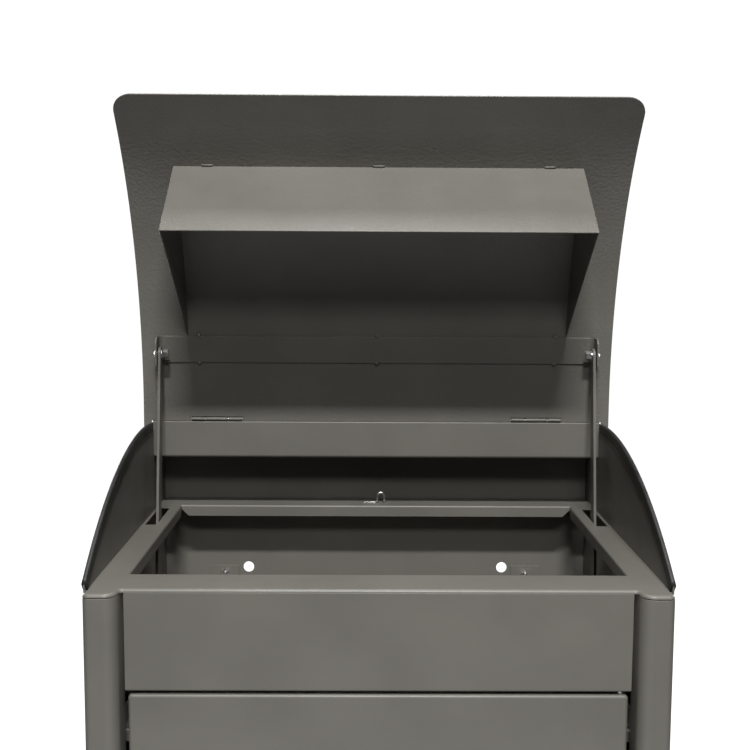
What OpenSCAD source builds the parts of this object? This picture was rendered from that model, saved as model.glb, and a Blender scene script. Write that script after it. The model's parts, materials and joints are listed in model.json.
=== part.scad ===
// Wall-mounted steel parcel drop box with a curved top lid, stored with the lid open.
// Front is -Y, up is +Z, millimetres. The origin is the middle of the base's underside.

/* [Body] */
// Outside width of the body across the two side panels
width = 440; // [380:5:500]
// Depth of the body from the posts' front to the wall face
depth = 335; // [290:5:400]
// Height of the frame around the drop opening
frame_z = 500; // [440:5:620]
// Thickness of the body and lid sheet
sheet = 1.2; // [0.8:0.1:2]
// Distance that the front posts stand proud of the door
post_proud = 14; // [8:1:20]
// Width of each front post
post_width = 25; // [18:1:34]

/* [Drop opening] */
// Width of the drop opening
opening_width = 391.6; // [300:1:400]
// Front edge of the drop opening behind the door face
opening_front = 40.5; // [35:0.5:60]
// Rear edge of the drop opening behind the door face
opening_rear = 282.7; // [240:1:290]
// Depth of the folded lip around the opening
lip = 11; // [6:1:20]
// Height of the fixed front panel over the door
fascia_height = 79.4; // [60:1:110]

/* [Lid] */
// Width of the lid
lid_width = 456; // [440:1:480]
// Radius of the lid's outer face
lid_radius = 397.2; // [340:1:460]
// Angle that the lid's arc turns through
lid_arc = 45.5; // [35:0.5:55]
// Angle that the lid closes through from its open stop
lid_travel = 87.4; // [60:0.1:95]
// Rounding of the lid's front corners
lid_corner = 18; // [5:1:40]
// Hinge axis behind the door face
hinge_back = 261.6; // [230:1:280]
// Hinge axis above the drop frame
hinge_up = 90.9; // [70:1:110]
// Length of one lid hinge
hinge_length = 50; // [30:5:80]

/* [Door] */
// Width of the door
door_width = 380; // [320:1:390]
// Gap between the door and the panels above and below it
door_gap = 2.6; // [1:0.2:5]
// Height of the panel under the door
sill_height = 37; // [20:1:60]

/* [Link arms and tray] */
// Distance from the arm's upper pivot to the tray pin when the lid is open
arm_reach = 259.6; // [220:0.1:300]
// Distance that the tray pin travels along the arm's lower slot
arm_slide = 33.4; // [20:0.1:45]
// Width of a link arm
arm_width = 14; // [10:1:18]
// Depth of the tray from its pivot to its front edge
tray_depth = 281; // [220:1:290]

/* [Hidden] */
$fn = 96;
half = width / 2;
face_y = -depth / 2 + post_proud;
back_y = depth / 2;
inner_x = half - sheet;
wall_y = back_y - sheet;
post_x = half - post_width;
post_back = face_y + 14;
fascia_x = 192;
frame_front = 3;
bend = 3;
door_x = door_width / 2;
door_top = frame_z - fascia_height - door_gap;
door_bottom = sill_height + door_gap;
return_depth = 12;
frame_return = 16;
return_z = frame_z - fascia_height;
drain_lip = 12;
back_flange = 18;

// Wall mounting holes: M10 clearance on a rectangle in the back panel
wall_hole_x = 132.7;
wall_hole_low = 75;
wall_hole_high = frame_z - 74.1;
wall_hole_r = 5.5;

// Lid hinge axis and the leaves that are wrapped round it
axis_y = face_y + hinge_back;
axis_z = frame_z + hinge_up;
barrel_r = 1.75;
leaf = 1;
leaf_y = barrel_r - leaf;
hinge_x = 156.5;
knuckle_gap = 0.3;
hinge_pin_r = 0.8;
leaf_long = 17;
leaf_root = 3;
cover_top = axis_z - 2.3;
body_top = cover_top - sheet;
riser_low = frame_z + 52.6;
riser_return = 9;

// Wire eye behind the drop opening
eye_x = 5;
eye_y = face_y + 296;
eye_half = 3.5;
eye_wire = 1;
eye_leg = 7;

// Lid profile in its own frame: the hinge axis is the origin and the lid reaches to -Y
lid_top = leaf_y;
lid_straight = 11;
lid_in = lid_radius - sheet;
lid_cz = lid_top - lid_radius;
lid_edge = 1.8;
lid_tab = 9;

// Hood and crossbar on the lid's inner face, measured along -Y from the hinge axis
hood_x = 183.6;
hood_root = 238.1;
hood_tip = 179.3;
hood_drop = 144.1;
hood_root_drop = 71.5;
hood_slope = atan2(hood_drop - hood_root_drop, hood_root - hood_tip);
hood_long = norm([hood_root - hood_tip, hood_drop - hood_root_drop]);
hood_end = 82.6;
bar_near = 56;
bar_far = 82;
bar_sheet = 1.6;
ear_x = 209.8;
ear_r = 9;
ear_low = 50;
ear_corner = 7;
weld_r = 2.6;
weld_length = 12;

// Upper pivot of the link arms in the lid's frame
pivot_out = 65;
pivot_drop = 16.6;
pin_r = 2.5;
arm_x = 206.4;
arm_sheet = 2.5;
arm_lean = 8;
play = 0.06;

// Upper pivot of the link arms in the part's frame, lid open
pivot_y = axis_y - pivot_drop;
pivot_z = axis_z + pivot_out;

// Slots in the frame that the arms pass through
slot_in = 205.2;
slot_out = 216;
slot_front = 200;
slot_rear = 272;

// Tray pivot and tray pin, lid open
tray_y = face_y + 306;
tray_z = frame_z - 112;
tray_r = 4;
tube_r = 7;
tray_x = 200;
tray_pin_y = pivot_y - arm_reach * sin(arm_lean);
tray_pin_z = pivot_z - arm_reach * cos(arm_lean);
bracket_x = 157;
stud_up = 32;
stud_down = 22;
plate_sheet = 2;
plate_half = 15;
lug_sheet = 2.5;
lug_r = 9;
nut_r = 4.62;

// Door pivots and cam lock
door_pivot_x = 184.3;
door_pivot_y = face_y + 5.2;
lock_x = -160;
lock_z = 230;
lock_r = 9.5;
cam_y = face_y + 16;

// Edge trim that covers the side panels' curved edges
trim_r = lid_in - 2.4;
trim_leg = 9;
trim_wall = 1.2;
trim_front = face_y - 8;
trim_rear = axis_y - 7;

// Centre of the lid's arc when it is closed, which the side panels' curved edges share
closed = lid_travel - 90;
arc_y = axis_y - lid_straight * cos(closed) - lid_cz * sin(closed);
arc_z = axis_z - lid_straight * sin(closed) + lid_cz * cos(closed);

// Sub-part to draw

// ---- Shared shapes ----

// Extrudes a profile drawn as [y, z] along X from x0 to x1
module along_x(x0, x1) {
    translate([x0, 0, 0])
        rotate([90, 0, 90])
            linear_extrude(x1 - x0)
                children();
}

// Round bar along X
module rod_x(x0, x1, y, z, r) {
    translate([x0, y, z])
        rotate([0, 90, 0])
            cylinder(h = x1 - x0, r = r);
}

// Round bar along Y
module rod_y(y0, y1, x, z, r) {
    translate([x, y1, z])
        rotate([90, 0, 0])
            cylinder(h = y1 - y0, r = r);
}

// Box between two corners
module block(low, high) {
    translate(low)
        cube(high - low);
}

// Copies a shape to both sides
module both_sides() {
    children();
    mirror([1, 0, 0])
        children();
}

// Places a shape that is drawn in the lid's frame in the open lid
module on_lid() {
    translate([0, axis_y, axis_z])
        rotate([-90, 0, 0])
            children();
}

// Rectangle with round corners at its far end only, along +X of the profile
module tongue(length, r) {
    translate([0, -r])
        square([length, 2 * r]);
    translate([length, 0])
        circle(r);
}

// ---- Side panels ----

// Plan outline of the right front post, drawn grown inward by t
module post_outline(t) {
    outer_r = 5 - t;
    inner_r = 10 - t;
    front = -depth / 2 + t;
    right = half - t;
    left = post_x + t;
    translate([right - outer_r, front + outer_r])
        circle(outer_r);
    translate([left + inner_r, front + inner_r])
        circle(inner_r);
    translate([left + inner_r, front])
        square([right - outer_r - left - inner_r, inner_r]);
    translate([left, front + inner_r])
        square([right - left, post_back - front - inner_r]);
    translate([right - inner_r, front + outer_r])
        square([inner_r, inner_r]);
}

// Curved edge of the side panels and trim: everything under the arc of radius r
module under_arc(r) {
    translate([arc_y, arc_z])
        circle(r, $fn = 360);
}

module right_side_panel() {
    // Folded front post, open towards the inside
    linear_extrude(frame_z - sheet)
        difference() {
            post_outline(0);
            post_outline(sheet);
            translate([post_x + sheet, face_y])
                square([post_width - 2 * sheet, 20]);
        }
    // Cap that closes the post at the frame's level
    translate([0, 0, frame_z - sheet])
        linear_extrude(sheet)
            intersection() {
                post_outline(0);
                translate([post_x, -depth / 2])
                    square([post_width, post_proud + frame_front]);
            }
    // Wall behind the post up to the frame
    block([inner_x, post_back, 0], [half, back_y, frame_z]);
    // Cheek above the frame: up to the arc in front of the lid's hinge, level behind it
    along_x(inner_x, half) {
        intersection() {
            under_arc(trim_r - trim_wall);
            translate([trim_front + 1, frame_z])
                square([trim_rear - trim_front - 1, body_top - frame_z]);
        }
        translate([trim_rear, frame_z])
            square([back_y - trim_rear, body_top - frame_z]);
    }
}

module side_panel_left() {
    color("dimgray")
        mirror([1, 0, 0])
            right_side_panel();
}

module side_panel_right() {
    color("dimgray")
        right_side_panel();
}

// ---- Back, base and sill ----

module wall_holes() {
    for (x = [-wall_hole_x, wall_hole_x], z = [wall_hole_low, wall_hole_high])
        rod_y(wall_y - 1, back_y + 1, x, z, wall_hole_r);
}

module back_panel() {
    color("dimgray")
        difference() {
            union() {
                block([-inner_x, wall_y, 0], [inner_x, back_y, body_top]);
                // Flanges welded to the side panels
                both_sides()
                    block([inner_x - sheet, wall_y - back_flange, sheet],
                          [inner_x, wall_y, frame_z - sheet]);
            }
            wall_holes();
        }
}

module base_panel() {
    color("dimgray") {
        block([-inner_x, post_back, 0], [inner_x, wall_y, sheet]);
        block([-fascia_x, face_y + sheet, 0], [fascia_x, post_back, sheet]);
        // Drain lip at the front
        block([-fascia_x, face_y + sheet, sheet], [fascia_x, face_y + 2 * sheet, drain_lip]);
    }
}

module sill_panel() {
    color("dimgray")
        difference() {
            union() {
                block([-fascia_x, face_y, 0], [fascia_x, face_y + sheet, sill_height - sheet]);
                block([-fascia_x, face_y, sill_height - sheet],
                      [fascia_x, face_y + frame_return, sill_height]);
            }
            translate([door_pivot_x, door_pivot_y, sill_height - 10])
                cylinder(h = 20, r = pin_r + play);
        }
}

// ---- Top frame with the drop opening ----

// Plate outline seen from above
module frame_plate() {
    difference() {
        translate([-inner_x, face_y + frame_front])
            square([2 * inner_x, wall_y - face_y - frame_front]);
        translate([-opening_width / 2, face_y + opening_front])
            square([opening_width, opening_rear - opening_front]);
        for (side = [-1, 1])
            translate([side * (slot_in + slot_out) / 2 - (slot_out - slot_in) / 2,
                       face_y + slot_front])
                square([slot_out - slot_in, slot_rear - slot_front]);
    }
}

// Front panel over the door in side view, with its rounded top and its inward return
module fascia_profile() {
    translate([face_y, return_z])
        square([sheet, fascia_height - bend]);
    translate([face_y, return_z])
        square([frame_return, sheet]);
    translate([face_y + bend, frame_z - bend])
        intersection() {
            difference() {
                circle(bend);
                circle(bend - sheet);
            }
            translate([-bend, 0])
                square(bend);
        }
}

module top_frame() {
    lip_low = frame_z - lip;
    x1 = opening_width / 2;
    y0 = face_y + opening_front;
    y1 = face_y + opening_rear;
    color("dimgray") {
        translate([0, 0, frame_z - sheet])
            linear_extrude(sheet)
                frame_plate();
        difference() {
            along_x(-fascia_x, fascia_x)
                fascia_profile();
            translate([door_pivot_x, door_pivot_y, return_z - 5])
                cylinder(h = 12, r = pin_r + play);
        }
        // Lips folded down round the opening, mitred at the corners
        both_sides()
            along_x(x1, x1 + sheet)
                polygon([[y0, frame_z - sheet], [y1, frame_z - sheet],
                         [y1 - lip + sheet, lip_low], [y0 + lip - sheet, lip_low]]);
        for (y = [y0 - sheet, y1])
            translate([0, y + sheet, 0])
                rotate([90, 0, 0])
                    linear_extrude(sheet)
                        polygon([[-x1, frame_z - sheet], [x1, frame_z - sheet],
                                 [x1 - lip + sheet, lip_low], [-x1 + lip - sheet, lip_low]]);
    }
}

// ---- Rear cover with the riser that carries the lid ----

module rear_cover() {
    riser_y = axis_y + leaf_y - sheet;
    color("dimgray")
        difference() {
            union() {
                block([-inner_x, riser_y, riser_low + bend], [inner_x, riser_y + sheet, cover_top]);
                // Rounded fold and return at the riser's foot
                along_x(-inner_x, inner_x) {
                    translate([riser_y + bend, riser_low + bend])
                        intersection() {
                            difference() {
                                circle(bend);
                                circle(bend - sheet);
                            }
                            translate([-bend, -bend])
                                square(bend);
                        }
                    translate([riser_y + bend, riser_low])
                        square([riser_return, sheet]);
                }
                block([-half, riser_y + sheet, body_top], [half, back_y, cover_top]);
            }
            // Slits that let the hinge leaves through the cover's fold
            both_sides()
                block([hinge_x - hinge_length / 2 - 1, axis_y + leaf_y, body_top - 1],
                      [hinge_x + hinge_length / 2 + 1, axis_y + barrel_r + 0.1, cover_top + 1]);
        }
}

// ---- Edge trim ----

module right_edge_trim() {
    along_x(half - sheet - trim_wall, half + trim_wall)
        intersection() {
            difference() {
                under_arc(trim_r);
                under_arc(trim_r - trim_leg);
            }
            translate([trim_front, frame_z])
                square([trim_rear - trim_front, hinge_up]);
        }
}

module hollow_edge_trim() {
    difference() {
        right_edge_trim();
        along_x(inner_x, half)
            under_arc(trim_r - trim_wall);
    }
}

module edge_trim_left() {
    color("black")
        mirror([1, 0, 0])
            hollow_edge_trim();
}

module edge_trim_right() {
    color("black")
        hollow_edge_trim();
}

// ---- Wire eye at the rear of the frame ----

module wire_eye() {
    color("silver")
        translate([eye_x, eye_y, frame_z]) {
            for (x = [-eye_half, eye_half])
                translate([x, 0, 0])
                    cylinder(h = eye_leg, r = eye_wire);
            translate([0, 0, eye_leg])
                rotate([90, 0, 0])
                    rotate_extrude(angle = 180)
                        translate([eye_half, 0])
                            circle(eye_wire);
        }
}

// ---- Tray pivot on the back panel ----

// Bracket: a wall plate and a lug that holds the tray shaft
module tray_brackets() {
    color("dimgray")
        both_sides()
            difference() {
                union() {
                    block([bracket_x - plate_half, wall_y - plate_sheet, tray_z - stud_down - 8],
                          [bracket_x + plate_half, wall_y, tray_z + stud_up + 8]);
                    along_x(bracket_x - lug_sheet / 2, bracket_x + lug_sheet / 2)
                        translate([wall_y - plate_sheet, tray_z])
                            rotate(180)
                                tongue(wall_y - plate_sheet - tray_y, lug_r);
                }
                rod_x(bracket_x - 5, bracket_x + 5, tray_y, tray_z, tray_r);
                for (dz = [stud_up, -stud_down])
                    rod_y(wall_y - 3, wall_y + 0.1, bracket_x, tray_z + dz, pin_r);
            }
}

module bracket_studs() {
    color("silver")
        both_sides()
            for (dz = [stud_up, -stud_down])
                rod_y(wall_y - 9, wall_y, bracket_x, tray_z + dz, pin_r);
}

module bracket_nuts() {
    color("silver")
        both_sides()
            for (dz = [stud_up, -stud_down])
                difference() {
                    translate([bracket_x, wall_y - plate_sheet, tray_z + dz])
                        rotate([90, 30, 0])
                            cylinder(h = 4, r = nut_r, $fn = 6);
                    rod_y(wall_y - 8, wall_y, bracket_x, tray_z + dz, pin_r);
                }
}

module tray_shaft() {
    color("silver")
        rod_x(-bracket_x - 4, bracket_x + 4, tray_y, tray_z, tray_r);
}

// ---- Lid hinges ----

// Knuckle tubes between x0 and x1 along the hinge axis
module knuckle(x0, x1) {
    rod_x(x0, x1, 0, 0, barrel_r);
}

// Ends of the three knuckles along one hinge: the middle one belongs to the lid
module leaf_set(outer) {
    third = hinge_length / 3;
    start = hinge_x - hinge_length / 2;
    difference() {
        union() {
            for (i = outer ? [0, 2] : [1]) {
                a = start + i * third + (i == 0 ? 0 : knuckle_gap / 2);
                b = start + (i + 1) * third - (i == 2 ? 0 : knuckle_gap / 2);
                knuckle(a, b);
                block([a, leaf_y, outer ? -leaf_root : 0], [b, barrel_r, outer ? 0 : leaf_root]);
            }
            z0 = outer ? -leaf_long : leaf_root;
            z1 = outer ? -leaf_root : leaf_long;
            block([start, leaf_y, z0], [start + hinge_length, barrel_r, z1]);
        }
        rod_x(start - 1, start + hinge_length + 1, 0, 0, hinge_pin_r + play);
    }
}

module lid_hinge_body_leaves() {
    color("dimgray")
        translate([0, axis_y, axis_z])
            both_sides()
                leaf_set(true);
}

module lid_hinge_lid_leaves() {
    color("dimgray")
        translate([0, axis_y, axis_z])
            both_sides()
                leaf_set(false);
}

module lid_hinge_pins() {
    color("silver")
        both_sides()
            rod_x(hinge_x - hinge_length / 2, hinge_x + hinge_length / 2,
                  axis_y, axis_z, hinge_pin_r);
}

// ---- Lid ----

// Lid sheet in side view, in the lid's frame
module lid_profile() {
    translate([-lid_straight, lid_top - sheet])
        square([lid_straight + lid_edge, sheet]);
    translate([-lid_straight, lid_cz])
        intersection() {
            difference() {
                circle(lid_radius, $fn = 360);
                circle(lid_in, $fn = 360);
            }
            far = 2 * lid_radius;
            reach = lid_arc + 1;
            polygon([[0, 0], [0, far], [-far * sin(reach), far], [-far * sin(reach), far * cos(reach)]]);
        }
}

// Outline that gives the lid its sides and round front corners, cut square to the lid's tip
module lid_outline() {
    side = lid_width / 2;
    deep = 160;
    translate([0, -lid_straight, lid_cz])
        rotate([lid_arc, 0, 0])
            translate([0, 0, lid_radius - deep])
                linear_extrude(deep + 10) {
                    translate([-side, lid_corner])
                        square([lid_width, lid_radius]);
                    translate([-side + lid_corner, 0])
                        square([lid_width - 2 * lid_corner, lid_corner + 1]);
                    for (x = [-side + lid_corner, side - lid_corner])
                        translate([x, lid_corner])
                            circle(lid_corner);
                }
}

module lid_panel() {
    color("dimgray")
        on_lid()
            difference() {
                union() {
                    intersection() {
                        along_x(-lid_width, lid_width)
                            lid_profile();
                        lid_outline();
                    }
                    // Tabs that run down past the hinge line outside the body and its trim
                    both_sides()
                        block([half + trim_wall + 0.6, 0, lid_top - sheet],
                              [lid_width / 2, lid_tab, lid_top]);
                }
                // Notches that clear the hinge knuckles
                both_sides()
                    block([hinge_x - hinge_length / 2 - 0.6, -barrel_r - 0.6, -3],
                          [hinge_x + hinge_length / 2 + 0.6, 5, leaf_y + sheet]);
            }
}

// Region under the lid's inner face, in side view
module inside_lid() {
    translate([-lid_straight, lid_cz])
        circle(lid_in, $fn = 360);
}

// Places a profile on the hood's sloping plate: X runs from its tip to its root, +Y is its front
module on_slope() {
    translate([-hood_tip, -hood_drop])
        rotate(180 - hood_slope)
            children();
}

module hood() {
    color("dimgray")
        on_lid() {
            along_x(-hood_x, hood_x)
                intersection() {
                    inside_lid();
                    on_slope()
                        translate([0, -sheet])
                            square([hood_long + 5, sheet]);
                }
            // Side plates between the sloping plate and the lid
            both_sides()
                along_x(hood_x - sheet, hood_x)
                    intersection() {
                        inside_lid();
                        difference() {
                            polygon([[-hood_tip, -hood_drop], [-hood_root - 4, -hood_root_drop],
                                     [-hood_end, 0], [-hood_end, inner_face(hood_end)]]);
                            on_slope()
                                translate([-20, -sheet])
                                    square([hood_long + 60, 60]);
                        }
                    }
        }
}

module hood_welds() {
    color("dimgray")
        on_lid()
            for (x = [-153, 0, 153])
                along_x(x - weld_length / 2, x + weld_length / 2)
                    intersection() {
                        inside_lid();
                        translate([-hood_root, -hood_root_drop])
                            circle(weld_r);
                        // Only in front of the sloping plate
                        on_slope()
                            square([hood_long + 20, 20]);
                    }
}

// Height of the lid's inner face at a distance from the hinge axis
function inner_face(out) = lid_cz + sqrt(lid_in * lid_in - pow(out - lid_straight, 2));
bar_tilt = atan2(inner_face(bar_near) - inner_face(bar_far), bar_far - bar_near);

// Ear plate in side view round its pivot: X towards the lid, Y away from the hinge
module ear_shape() {
    low = ear_low - pivot_out;
    high = bar_far - pivot_out;
    under_web = pivot_drop + inner_face(bar_far) - bar_sheet;
    difference() {
        union() {
            for (y = [low + ear_corner, high - ear_corner])
                translate([ear_corner - ear_r, y])
                    circle(ear_corner);
            translate([-ear_r, low + ear_corner])
                square([ear_r + under_web, high - low - 2 * ear_corner]);
            translate([ear_corner - ear_r, low])
                square([under_web + ear_r - ear_corner, high - low]);
        }
        circle(pin_r);
    }
}

module crossbar() {
    color("dimgray")
        on_lid() {
            translate([0, -bar_far, inner_face(bar_far)])
                rotate([bar_tilt, 0, 0])
                    block([-ear_x - bar_sheet, 0, -bar_sheet],
                          [ear_x + bar_sheet, bar_far - bar_near, 0]);
            both_sides()
                along_x(ear_x, ear_x + bar_sheet)
                    translate([-pivot_out, -pivot_drop])
                        rotate(90)
                            ear_shape();
        }
}

// Half-round weld spot at an edge of the crossbar's web, on the +Y side
module weld_spot() {
    intersection() {
        sphere(weld_r);
        translate([-weld_r, 0, -weld_r - 0.2])
            cube([2 * weld_r, weld_r, weld_r]);
    }
}

module crossbar_welds() {
    color("dimgray")
        on_lid()
            for (x = [-172.5, 0, 172.5]) {
                translate([x, -bar_near, inner_face(bar_near)])
                    rotate([bar_tilt, 0, 0])
                        weld_spot();
                translate([x, -bar_far, inner_face(bar_far)])
                    rotate([bar_tilt, 0, 0])
                        mirror([0, 1, 0])
                            weld_spot();
            }
}

// ---- Upper pivots of the link arms ----

module pivot_bolts() {
    head_x = ear_x + bar_sheet;
    color("silver")
        both_sides() {
            rod_x(arm_x - 6.2, head_x, pivot_y, pivot_z, pin_r);
            // Button head outside the ear
            translate([head_x, pivot_y, pivot_z])
                rotate([0, 90, 0])
                    difference() {
                        intersection() {
                            cylinder(h = 2.75, r = 4.75);
                            translate([0, 0, -3.4])
                                sphere(6.15);
                        }
                        translate([0, 0, 1.2])
                            cylinder(h = 3, r = 1.7, $fn = 6);
                    }
        }
}

module pivot_nuts() {
    color("silver")
        both_sides()
            difference() {
                translate([arm_x - 6.1, pivot_y, pivot_z])
                    rotate([0, 90, 0])
                        cylinder(h = 5, r = nut_r, $fn = 6);
                rod_x(arm_x - 8, arm_x, pivot_y, pivot_z, pin_r);
            }
}

module pivot_washers() {
    color("silver")
        both_sides()
            difference() {
                rod_x(arm_x - 1.1, arm_x - 0.1, pivot_y, pivot_z, 5);
                rod_x(arm_x - 2, arm_x, pivot_y, pivot_z, pin_r);
            }
}

// ---- Link arms ----

// Flat bar from the upper pivot at the origin down to its slotted end
module arm_shape() {
    low = -arm_reach - arm_slide;
    r = arm_width / 2;
    bore = pin_r + play;
    slot_r = pin_r + 1;
    difference() {
        union() {
            circle(r);
            translate([-r, low - 2])
                square([arm_width, -low + 2]);
            translate([0, low - 2])
                circle(r);
        }
        circle(bore);
        translate([0, -arm_reach + 1.5])
            circle(slot_r);
        translate([0, low - 1.5])
            circle(slot_r);
        translate([-slot_r, low - 1.5])
            square([2 * slot_r, arm_slide + 3]);
    }
}

module right_arm() {
    along_x(arm_x, arm_x + arm_sheet)
        translate([pivot_y, pivot_z])
            rotate(-arm_lean)
                arm_shape();
}

module arm_left() {
    color("dimgray")
        mirror([1, 0, 0])
            right_arm();
}

module arm_right() {
    color("dimgray")
        right_arm();
}

// ---- Tray under the drop opening ----

module tray_panel() {
    floor_z = tray_z - tube_r - sheet;
    front = tray_y - tray_depth;
    color("dimgray") {
        difference() {
            block([-tray_x, front, floor_z], [tray_x, tray_y, floor_z + sheet]);
            // Notches that clear the bracket lugs
            both_sides()
                block([bracket_x - 4, tray_y - 13, floor_z - 1],
                      [bracket_x + 4, tray_y + 1, floor_z + 2 * sheet]);
        }
        // Folded edges: both sides and the front
        both_sides()
            block([tray_x - sheet, front, floor_z + sheet],
                  [tray_x, tray_y - 20, floor_z + 16]);
        block([-tray_x + sheet, front, floor_z - 10], [tray_x - sheet, front + sheet, floor_z]);
    }
}

module tray_tube() {
    color("dimgray")
        difference() {
            rod_x(-bracket_x + 4, bracket_x - 4, tray_y, tray_z, tube_r);
            rod_x(-bracket_x, bracket_x, tray_y, tray_z, tray_r + play);
        }
}

module tray_lugs() {
    floor_z = tray_z - tube_r;
    color("dimgray")
        both_sides()
            along_x(tray_x, tray_x + 2)
                difference() {
                    union() {
                        translate([tray_pin_y, tray_pin_z])
                            circle(lug_r);
                        translate([tray_pin_y - lug_r, floor_z])
                            square([2 * lug_r, tray_pin_z - floor_z]);
                    }
                    translate([tray_pin_y, tray_pin_z])
                        circle(pin_r);
                }
}

module tray_pins() {
    color("silver")
        both_sides()
            rod_x(tray_x, arm_x + arm_sheet + 2.2, tray_pin_y, tray_pin_z, pin_r);
}

module pin_clips() {
    x0 = arm_x + arm_sheet + 0.5;
    color("silver")
        both_sides()
            difference() {
                rod_x(x0, x0 + 1, tray_pin_y, tray_pin_z, 4.6);
                rod_x(x0 - 1, x0 + 2, tray_pin_y, tray_pin_z, pin_r);
            }
}

// ---- Door ----

// Door pan in side view: face with a rounded top edge and returns at top and bottom
module door_profile() {
    translate([face_y, door_bottom])
        square([sheet, door_top - door_bottom - bend]);
    translate([face_y + bend, door_top - bend])
        intersection() {
            difference() {
                circle(bend);
                circle(bend - sheet);
            }
            translate([-bend, 0])
                square(bend);
        }
    translate([face_y + bend, door_top - sheet])
        square([return_depth - bend, sheet]);
    translate([face_y, door_bottom])
        square([return_depth, sheet]);
}

module door_panel() {
    color("dimgray")
        difference() {
            union() {
                along_x(-door_x, door_x)
                    door_profile();
                both_sides()
                    block([door_x - sheet, face_y + sheet, door_bottom + sheet],
                          [door_x, face_y + return_depth, door_top - bend]);
            }
            rod_y(face_y - 1, face_y + 5, lock_x, lock_z, lock_r);
            for (z = [door_top - 3, door_bottom - 2])
                translate([door_pivot_x, door_pivot_y, z])
                    cylinder(h = 5, r = pin_r);
            // Notch at the top corner beside the pivot
            block([door_x - 3, face_y - 1, door_top - 2.5], [door_x + 1, face_y + 20, door_top + 1]);
        }
}

module door_stiffener() {
    z0 = 120;
    z1 = 340;
    color("dimgray") {
        block([-12, face_y + sheet, z0], [12, face_y + 2 * sheet, z1]);
        for (x = [-12, 12 - sheet])
            block([x, face_y + 2 * sheet, z0], [x + sheet, face_y + 10, z1]);
    }
}

module door_pivot_pins() {
    color("silver") {
        translate([door_pivot_x, door_pivot_y, door_top - 6])
            cylinder(h = 6 + door_gap + 4, r = pin_r);
        translate([door_pivot_x, door_pivot_y, sill_height - 4])
            cylinder(h = 4 + door_gap + 6, r = pin_r);
    }
}

// ---- Cam lock ----

module lock_housing() {
    plug = 6;
    color("silver")
        difference() {
            union() {
                rod_y(face_y, face_y + 15, lock_x, lock_z, lock_r);
                rod_y(face_y - 2.5, face_y, lock_x, lock_z, 11.5);
            }
            rod_y(face_y - 4, face_y + 20, lock_x, lock_z, plug + play);
        }
}

module lock_nut() {
    color("silver")
        difference() {
            translate([lock_x, face_y + sheet, lock_z])
                rotate([-90, 0, 0])
                    cylinder(h = 4, r = 14, $fn = 6);
            rod_y(face_y, face_y + 8, lock_x, lock_z, lock_r);
        }
}

module lock_plug() {
    color("silver")
        difference() {
            union() {
                rod_y(face_y - 2, face_y + 15.3, lock_x, lock_z, 6);
                rod_y(face_y + 15.3, cam_y + 2, lock_x, lock_z, 3.5);
            }
            // Keyway
            block([lock_x - 0.9, face_y - 3, lock_z - 3.8], [lock_x + 0.9, face_y + 10, lock_z + 3.8]);
        }
}

module lock_cam() {
    color("silver")
        translate([lock_x, cam_y + 2, lock_z])
            rotate([90, 0, 0])
                linear_extrude(2)
                    difference() {
                        rotate(-90)
                            tongue(40, 7);
                        circle(3.5);
                    }
}

module cam_screw() {
    color("silver")
        rod_y(cam_y + 2, cam_y + 4.5, lock_x, lock_z, 5);
}

// ---- Sub-parts to draw ----

side_panel_left();
side_panel_right();
back_panel();
base_panel();
sill_panel();
top_frame();
rear_cover();
edge_trim_left();
edge_trim_right();
wire_eye();
tray_brackets();
bracket_studs();
bracket_nuts();
tray_shaft();
lid_hinge_body_leaves();
lid_panel();
hood();
hood_welds();
crossbar();
crossbar_welds();
pivot_bolts();
pivot_nuts();
pivot_washers();
lid_hinge_lid_leaves();
lid_hinge_pins();
arm_left();
arm_right();
tray_panel();
tray_tube();
tray_lugs();
tray_pins();
pin_clips();
door_panel();
door_stiffener();
door_pivot_pins();
lock_housing();
lock_nut();
lock_plug();
lock_cam();
cam_screw();
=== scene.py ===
import json
import math

import bmesh
import bpy
from mathutils import Matrix, Vector


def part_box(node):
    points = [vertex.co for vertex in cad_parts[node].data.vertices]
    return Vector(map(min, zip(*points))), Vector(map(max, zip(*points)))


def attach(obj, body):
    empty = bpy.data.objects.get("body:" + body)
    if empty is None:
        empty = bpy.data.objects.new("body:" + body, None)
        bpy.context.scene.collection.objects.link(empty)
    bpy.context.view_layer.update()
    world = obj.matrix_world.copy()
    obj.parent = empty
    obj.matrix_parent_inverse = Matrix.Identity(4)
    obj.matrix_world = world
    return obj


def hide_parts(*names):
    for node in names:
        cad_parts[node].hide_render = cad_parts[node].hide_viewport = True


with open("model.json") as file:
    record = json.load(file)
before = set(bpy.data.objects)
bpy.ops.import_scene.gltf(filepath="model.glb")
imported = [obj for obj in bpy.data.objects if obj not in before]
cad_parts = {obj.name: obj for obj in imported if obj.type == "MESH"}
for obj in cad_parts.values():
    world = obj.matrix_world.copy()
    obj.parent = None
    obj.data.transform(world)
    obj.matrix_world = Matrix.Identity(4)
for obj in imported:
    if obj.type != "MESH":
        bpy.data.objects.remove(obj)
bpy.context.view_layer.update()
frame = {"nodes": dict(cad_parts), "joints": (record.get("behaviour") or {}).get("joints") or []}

MM = 0.001
JOINTS = {joint["name"]: joint for joint in frame["joints"]}


# ---- Driving dimensions, in millimetres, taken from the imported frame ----

def low(node):
    """The least x, y and z of a CAD node."""
    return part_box(node)[0] / MM


def high(node):
    """The greatest x, y and z of a CAD node."""
    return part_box(node)[1] / MM


# Body: the sheet, its faces and its heights
SHEET = 1.2
TOP = high("top_frame").z
FACE = low("top_frame").y
BACK = high("back_panel").y
WALL = BACK - SHEET
HALF = high("side_panel_right").x
INNER = HALF - SHEET

# Right front post: two front corners, an inner flange, and a gap under the top sheet
POST = low("side_panel_right").x
POST_FRONT = low("side_panel_right").y
POST_IN_RADIUS = 10.0
POST_OUT_RADIUS = 5.0
POST_DEEP = 14.0
POST_GAP = 0.8

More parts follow.
